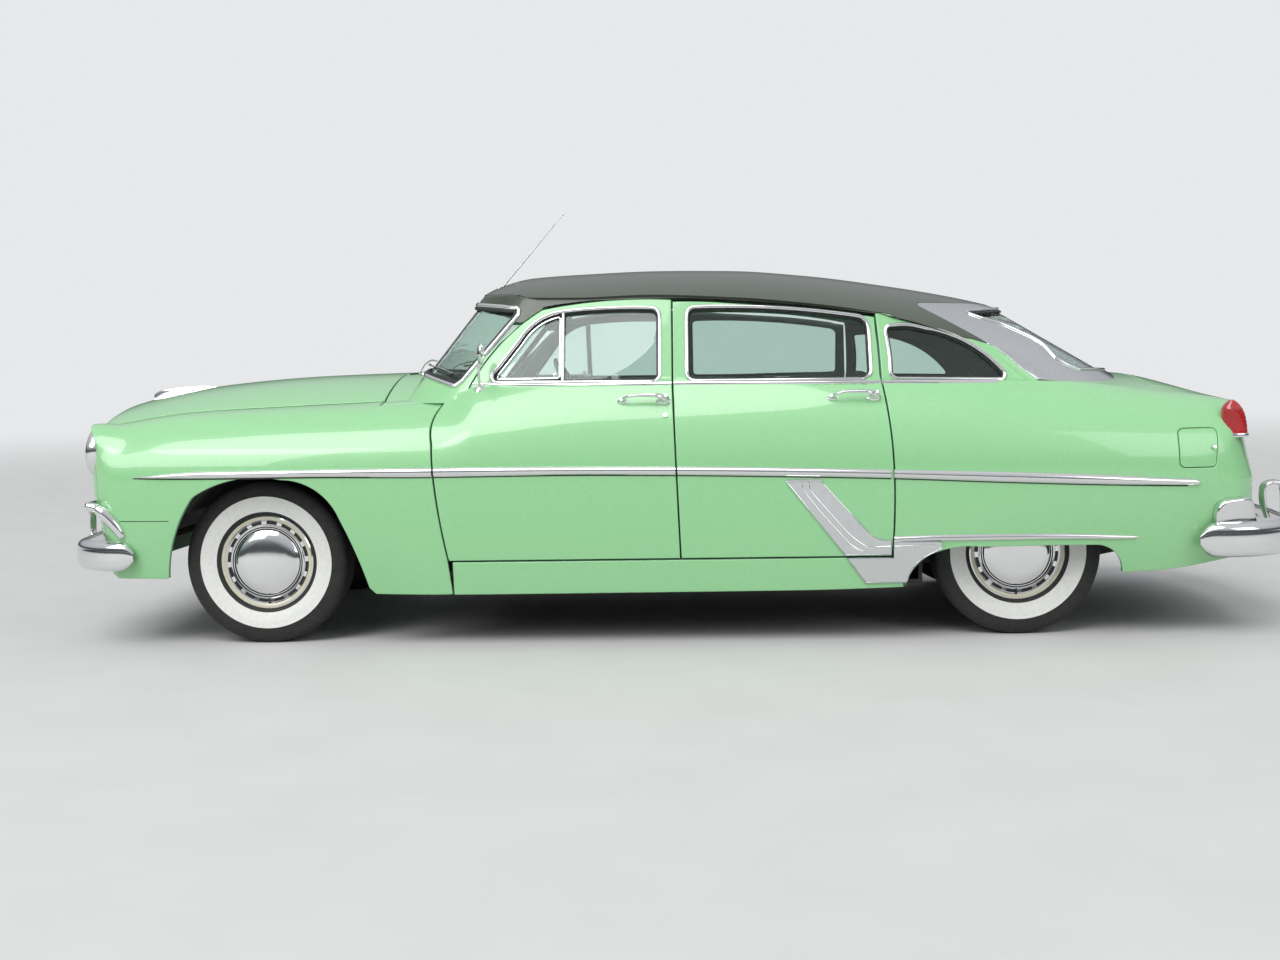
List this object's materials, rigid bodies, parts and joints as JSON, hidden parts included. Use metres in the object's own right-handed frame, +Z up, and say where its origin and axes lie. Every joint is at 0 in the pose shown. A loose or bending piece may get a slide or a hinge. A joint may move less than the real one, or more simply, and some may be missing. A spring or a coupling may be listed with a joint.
{
  "type": "full-size four-door sedan car, early 1950s style",
  "caption": "Full-size four-door step-down sedan of the early 1950s with hinged doors, hood, trunk lid and fuel door, steered front wheels and a low curved roof.",
  "frame": {"origin": "on the ground at the middle of the car's footprint", "axes": "+X towards the rear bumper, -Y the car's left side, +Z up"},
  "size_m": [5.2956, 1.968, 1.8606],
  "materials": {
    "paint": "pale sea-green gloss",
    "roof_paint": "dark olive gloss",
    "floor_paint": "black undercoat",
    "chrome": "polished",
    "glass": "lightly tinted",
    "lamp_glass": "fluted clear",
    "lamp_red": "red lens",
    "seat_cloth": "woven",
    "dash_paint": "satin",
    "wheel_plastic": "gloss",
    "iron": "painted black",
    "antenna_steel": "polished",
    "tyre": "wide white sidewall",
    "wheel_metal": "polished cap on a cream rim"
  },
  "bodies": {
    "body": {"floor_pan": "floor_paint", "wheelhouses": "floor_paint", "front_fenders": "paint", "front_apron": "paint", "cowl": "paint", "roof": "roof_paint", "rear_body": "paint", "windshield": "glass", "rear_glass": "glass", "front_bumper": "chrome", "rear_bumper": "chrome", "grille": "chrome", "front_lamps": "lamp_glass", "tail_lamps": "lamp_red", "front_seat": "seat_cloth", "rear_seat": "seat_cloth", "dashboard": "dash_paint", "engine": "iron", "rear_axle": "iron", "front_suspension": "iron", "exhaust": "iron", "fuel_tank": "iron", "antenna": "antenna_steel"},
    "front_door_left": {"front_door_left": "paint", "front_door_glass_left": "glass"},
    "front_door_right": {"front_door_right": "paint", "front_door_glass_right": "glass"},
    "rear_door_left": {"rear_door_left": "paint", "rear_door_glass_left": "glass"},
    "rear_door_right": {"rear_door_right": "paint", "rear_door_glass_right": "glass"},
    "hood": {"hood": "paint"},
    "trunk_lid": {"trunk_lid": "paint"},
    "fuel_door": {"fuel_door": "paint"},
    "steering_wheel": {"steering_wheel": "wheel_plastic"},
    "knuckle_left": {"knuckle_left": "iron"},
    "knuckle_right": {"knuckle_right": "iron"},
    "wheel_front_left": {"tyre_front_left": "tyre", "wheel_front_left": "wheel_metal"},
    "wheel_front_right": {"tyre_front_right": "tyre", "wheel_front_right": "wheel_metal"},
    "wheel_rear_left": {"tyre_rear_left": "tyre", "wheel_rear_left": "wheel_metal"},
    "wheel_rear_right": {"tyre_rear_right": "tyre", "wheel_rear_right": "wheel_metal"}
  },
  "joints": [
    {"name": "front_door_left_hinge", "type": "hinge", "parent": "body", "child": "front_door_left", "pos_m": [-0.9975, -0.988, 0.7], "axis": [0, 0, -1], "range_deg": [0, 65]},
    {"name": "front_door_right_hinge", "type": "hinge", "parent": "body", "child": "front_door_right", "pos_m": [-0.9975, 0.988, 0.7], "axis": [0, 0, 1], "range_deg": [0, 65]},
    {"name": "rear_door_left_hinge", "type": "hinge", "parent": "body", "child": "rear_door_left", "pos_m": [0.0015, -0.988, 0.7], "axis": [0, 0, -1], "range_deg": [0, 65]},
    {"name": "rear_door_right_hinge", "type": "hinge", "parent": "body", "child": "rear_door_right", "pos_m": [0.0015, 0.988, 0.7], "axis": [0, 0, 1], "range_deg": [0, 65]},
    {"name": "hood_hinge", "type": "hinge", "parent": "body", "child": "hood", "pos_m": [-2.53, 0, 0.87], "axis": [0, -1, 0], "range_deg": [0, 45]},
    {"name": "trunk_lid_hinge", "type": "hinge", "parent": "body", "child": "trunk_lid", "pos_m": [2.012, 0, 1.075], "axis": [0, -1, 0], "range_deg": [0, 70]},
    {"name": "fuel_door_hinge", "type": "hinge", "parent": "body", "child": "fuel_door", "pos_m": [2.0375, -0.94, 0.775], "axis": [0, 0, -1], "range_deg": [0, 100]},
    {"name": "steering_wheel_turn", "type": "hinge", "parent": "body", "child": "steering_wheel", "pos_m": [-0.43, -0.39, 0.985], "axis": [-0.8829, 0, -0.4695], "range_deg": [-545, 545]},
    {"name": "knuckle_left_steer", "type": "hinge", "parent": "body", "child": "knuckle_left", "pos_m": [-1.733, -0.68, 0.345], "axis": [0, 0, 1], "range_deg": [-30, 30]},
    {"name": "knuckle_right_steer", "type": "hinge", "parent": "body", "child": "knuckle_right", "pos_m": [-1.733, 0.68, 0.345], "axis": [0, 0, 1], "range_deg": [-30, 30]},
    {"name": "wheel_front_left_spin", "type": "hinge", "parent": "knuckle_left", "child": "wheel_front_left", "pos_m": [-1.733, -0.743, 0.345], "axis": [0, 1, 0], "continuous": true},
    {"name": "wheel_front_right_spin", "type": "hinge", "parent": "knuckle_right", "child": "wheel_front_right", "pos_m": [-1.733, 0.743, 0.345], "axis": [0, 1, 0], "continuous": true},
    {"name": "wheel_rear_left_spin", "type": "hinge", "parent": "body", "child": "wheel_rear_left", "pos_m": [1.417, -0.705, 0.345], "axis": [0, 1, 0], "continuous": true},
    {"name": "wheel_rear_right_spin", "type": "hinge", "parent": "body", "child": "wheel_rear_right", "pos_m": [1.417, 0.705, 0.345], "axis": [0, 1, 0], "continuous": true}
  ],
  "couplings": [
    {"joint": "knuckle_right_steer", "follows": "knuckle_left_steer", "ratio": 1},
    {"joint": "steering_wheel_turn", "follows": "knuckle_left_steer", "ratio": 18}
  ]
}
